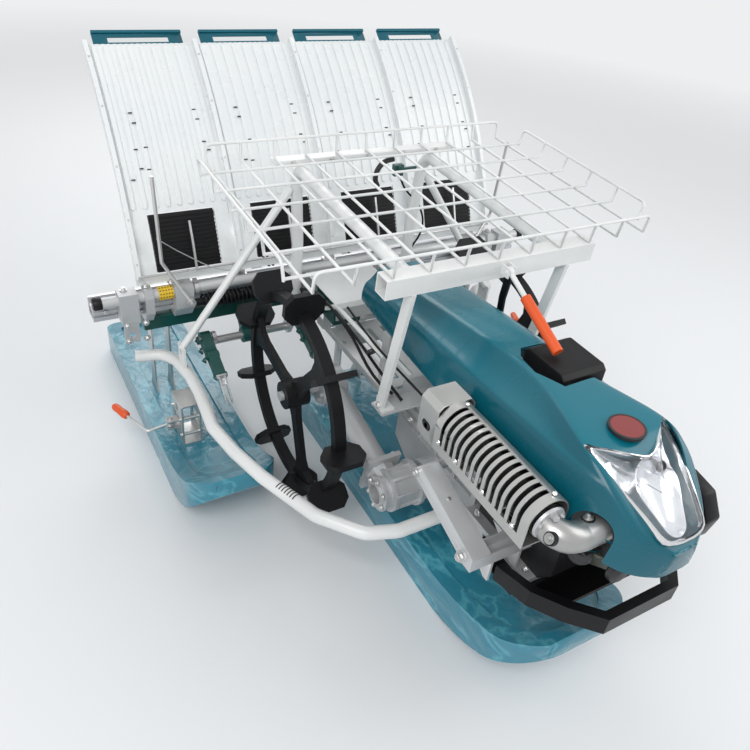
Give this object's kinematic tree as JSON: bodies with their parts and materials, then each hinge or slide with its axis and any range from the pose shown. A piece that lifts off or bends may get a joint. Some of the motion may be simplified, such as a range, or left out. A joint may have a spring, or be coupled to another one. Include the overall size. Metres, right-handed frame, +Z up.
{
  "type": "walk-behind rice transplanter",
  "caption": "Walk-behind rice transplanter with floats, lugged wheels, a curved sliding seedling stage, planting arms, a wire carrier rack and a front engine under a teal hood.",
  "frame": {"origin": "on the machine's centre line, on the flat sole of the centre float", "axes": "+Z up, -Y to the engine at the front, +Y to the handlebars, +X to the machine's left"},
  "size_m": [1.4726, 2.3769, 1.0381],
  "materials": {
    "teal_float": "moulded, glossy",
    "teal_hood": "painted plastic, glossy",
    "white_paint": "white powder coat",
    "silver_paint": "silver grey paint",
    "cast_alu": "as cast, painted silver",
    "rail_alu": "anodised extrusion",
    "chrome": "polished",
    "zinc": "zinc plated",
    "black_rubber": "matt",
    "black_paint": "satin black",
    "black_plastic": "satin",
    "olive_plastic": "satin",
    "green_cast": "dark green enamel",
    "stage_white": "pressed white sheet",
    "orange_grip": "soft plastic",
    "red_lens": "prismatic reflector",
    "lamp_lens": "clear lens"
  },
  "bodies": {
    "chassis": {"center_float": "teal_float", "side_float_right": "teal_float", "side_float_left": "teal_float", "float_brackets": "zinc", "main_frame": "silver_paint", "transmission_case": "cast_alu", "engine": "black_plastic", "engine_base": "silver_paint", "engine_cowl": "olive_plastic", "muffler": "black_paint", "muffler_guard": "silver_paint", "exhaust_elbow": "chrome", "hood": "teal_hood", "headlamp": "lamp_lens", "reflector_disc": "red_lens", "filler_cap": "black_rubber", "front_bumper": "black_paint", "guard_tube_right": "white_paint", "guard_tube_left": "white_paint", "side_arm_right": "silver_paint", "side_arm_left": "silver_paint", "planting_beam": "green_cast", "planting_case_right": "green_cast", "planting_case_left": "green_cast", "rack_frame": "white_paint", "rack_front_bracket": "white_paint", "rack_rear_bracket": "white_paint", "carrier_rack": "white_paint", "guide_rail": "rail_alu", "rail_tube": "silver_paint", "rail_brackets": "cast_alu", "feed_shaft": "black_rubber", "center_cover": "silver_paint", "feed_gearbox": "green_cast", "handlebars": "white_paint", "handle_grips": "black_rubber", "control_console": "teal_hood", "control_levers": "black_plastic", "stage_guide": "zinc"},
    "stage": {"stage_panel": "stage_white", "feed_belts": "black_rubber", "extension_plates": "teal_hood", "press_rods": "zinc", "stage_frame": "zinc"},
    "arm_right": {"wheel_arm_right": "cast_alu"},
    "arm_left": {"wheel_arm_left": "cast_alu"},
    "wheel_r": {"wheel_right": "black_rubber"},
    "wheel_l": {"wheel_left": "black_rubber"},
    "crank_r": {"crank_right": "zinc"},
    "crank_l": {"crank_left": "zinc"},
    "planters_right": {"planting_arms_right": "green_cast"},
    "planters_left": {"planting_arms_left": "green_cast"},
    "pole": {"center_pole": "orange_grip"},
    "marker_right": {"line_marker_right": "zinc"},
    "marker_left": {"line_marker_left": "zinc"},
    "side_right": {"side_marker_right": "zinc"},
    "side_left": {"side_marker_left": "zinc"}
  },
  "joints": [
    {"name": "stage_slide", "type": "slide", "parent": "chassis", "child": "stage", "axis": [1, 0, 0], "range_m": [-0.136, 0.136]},
    {"name": "arm_lift_right", "type": "hinge", "parent": "chassis", "child": "arm_right", "pos_m": [-0.216, -0.43, 0.254], "axis": [-1, 0, 0], "range_deg": [0, 25]},
    {"name": "arm_lift_left", "type": "hinge", "parent": "chassis", "child": "arm_left", "pos_m": [0.216, -0.43, 0.254], "axis": [-1, 0, 0], "range_deg": [0, 25]},
    {"name": "wheel_spin_right", "type": "hinge", "parent": "arm_right", "child": "wheel_r", "pos_m": [-0.322, -0.08, 0.33], "axis": [1, 0, 0], "continuous": true},
    {"name": "wheel_spin_left", "type": "hinge", "parent": "arm_left", "child": "wheel_l", "pos_m": [0.322, -0.08, 0.33], "axis": [1, 0, 0], "continuous": true},
    {"name": "crank_spin_right", "type": "hinge", "parent": "chassis", "child": "crank_r", "pos_m": [-0.3, 0.29, 0.285], "axis": [1, 0, 0], "continuous": true},
    {"name": "crank_spin_left", "type": "hinge", "parent": "chassis", "child": "crank_l", "pos_m": [0.3, 0.29, 0.285], "axis": [1, 0, 0], "continuous": true},
    {"name": "planter_swing_right", "type": "hinge", "parent": "crank_r", "child": "planters_right", "pos_m": [-0.3, 0.26414, 0.3181], "axis": [1, 0, 0], "continuous": true},
    {"name": "planter_swing_left", "type": "hinge", "parent": "crank_l", "child": "planters_left", "pos_m": [0.3, 0.26414, 0.3181], "axis": [1, 0, 0], "continuous": true},
    {"name": "pole_fold", "type": "hinge", "parent": "chassis", "child": "pole", "pos_m": [0.02, -0.41468, 0.8119], "axis": [-1, 0, 0], "range_deg": [0, 110]},
    {"name": "marker_fold_right", "type": "hinge", "parent": "chassis", "child": "marker_right", "pos_m": [-0.476, 0.288, 0.43], "axis": [0, -1, 0], "range_deg": [0, 60]},
    {"name": "marker_fold_left", "type": "hinge", "parent": "chassis", "child": "marker_left", "pos_m": [0.476, 0.288, 0.43], "axis": [0, 1, 0], "range_deg": [0, 60]},
    {"name": "side_marker_fold_right", "type": "hinge", "parent": "chassis", "child": "side_right", "pos_m": [-0.605, 0.116, 0.16], "axis": [0, 0, 1], "range_deg": [0, 60]},
    {"name": "side_marker_fold_left", "type": "hinge", "parent": "chassis", "child": "side_left", "pos_m": [0.605, 0.116, 0.16], "axis": [0, 0, -1], "range_deg": [0, 60]}
  ],
  "couplings": [
    {"joint": "planter_swing_right", "follows": "crank_spin_right", "ratio": -1},
    {"joint": "planter_swing_left", "follows": "crank_spin_left", "ratio": -1}
  ]
}
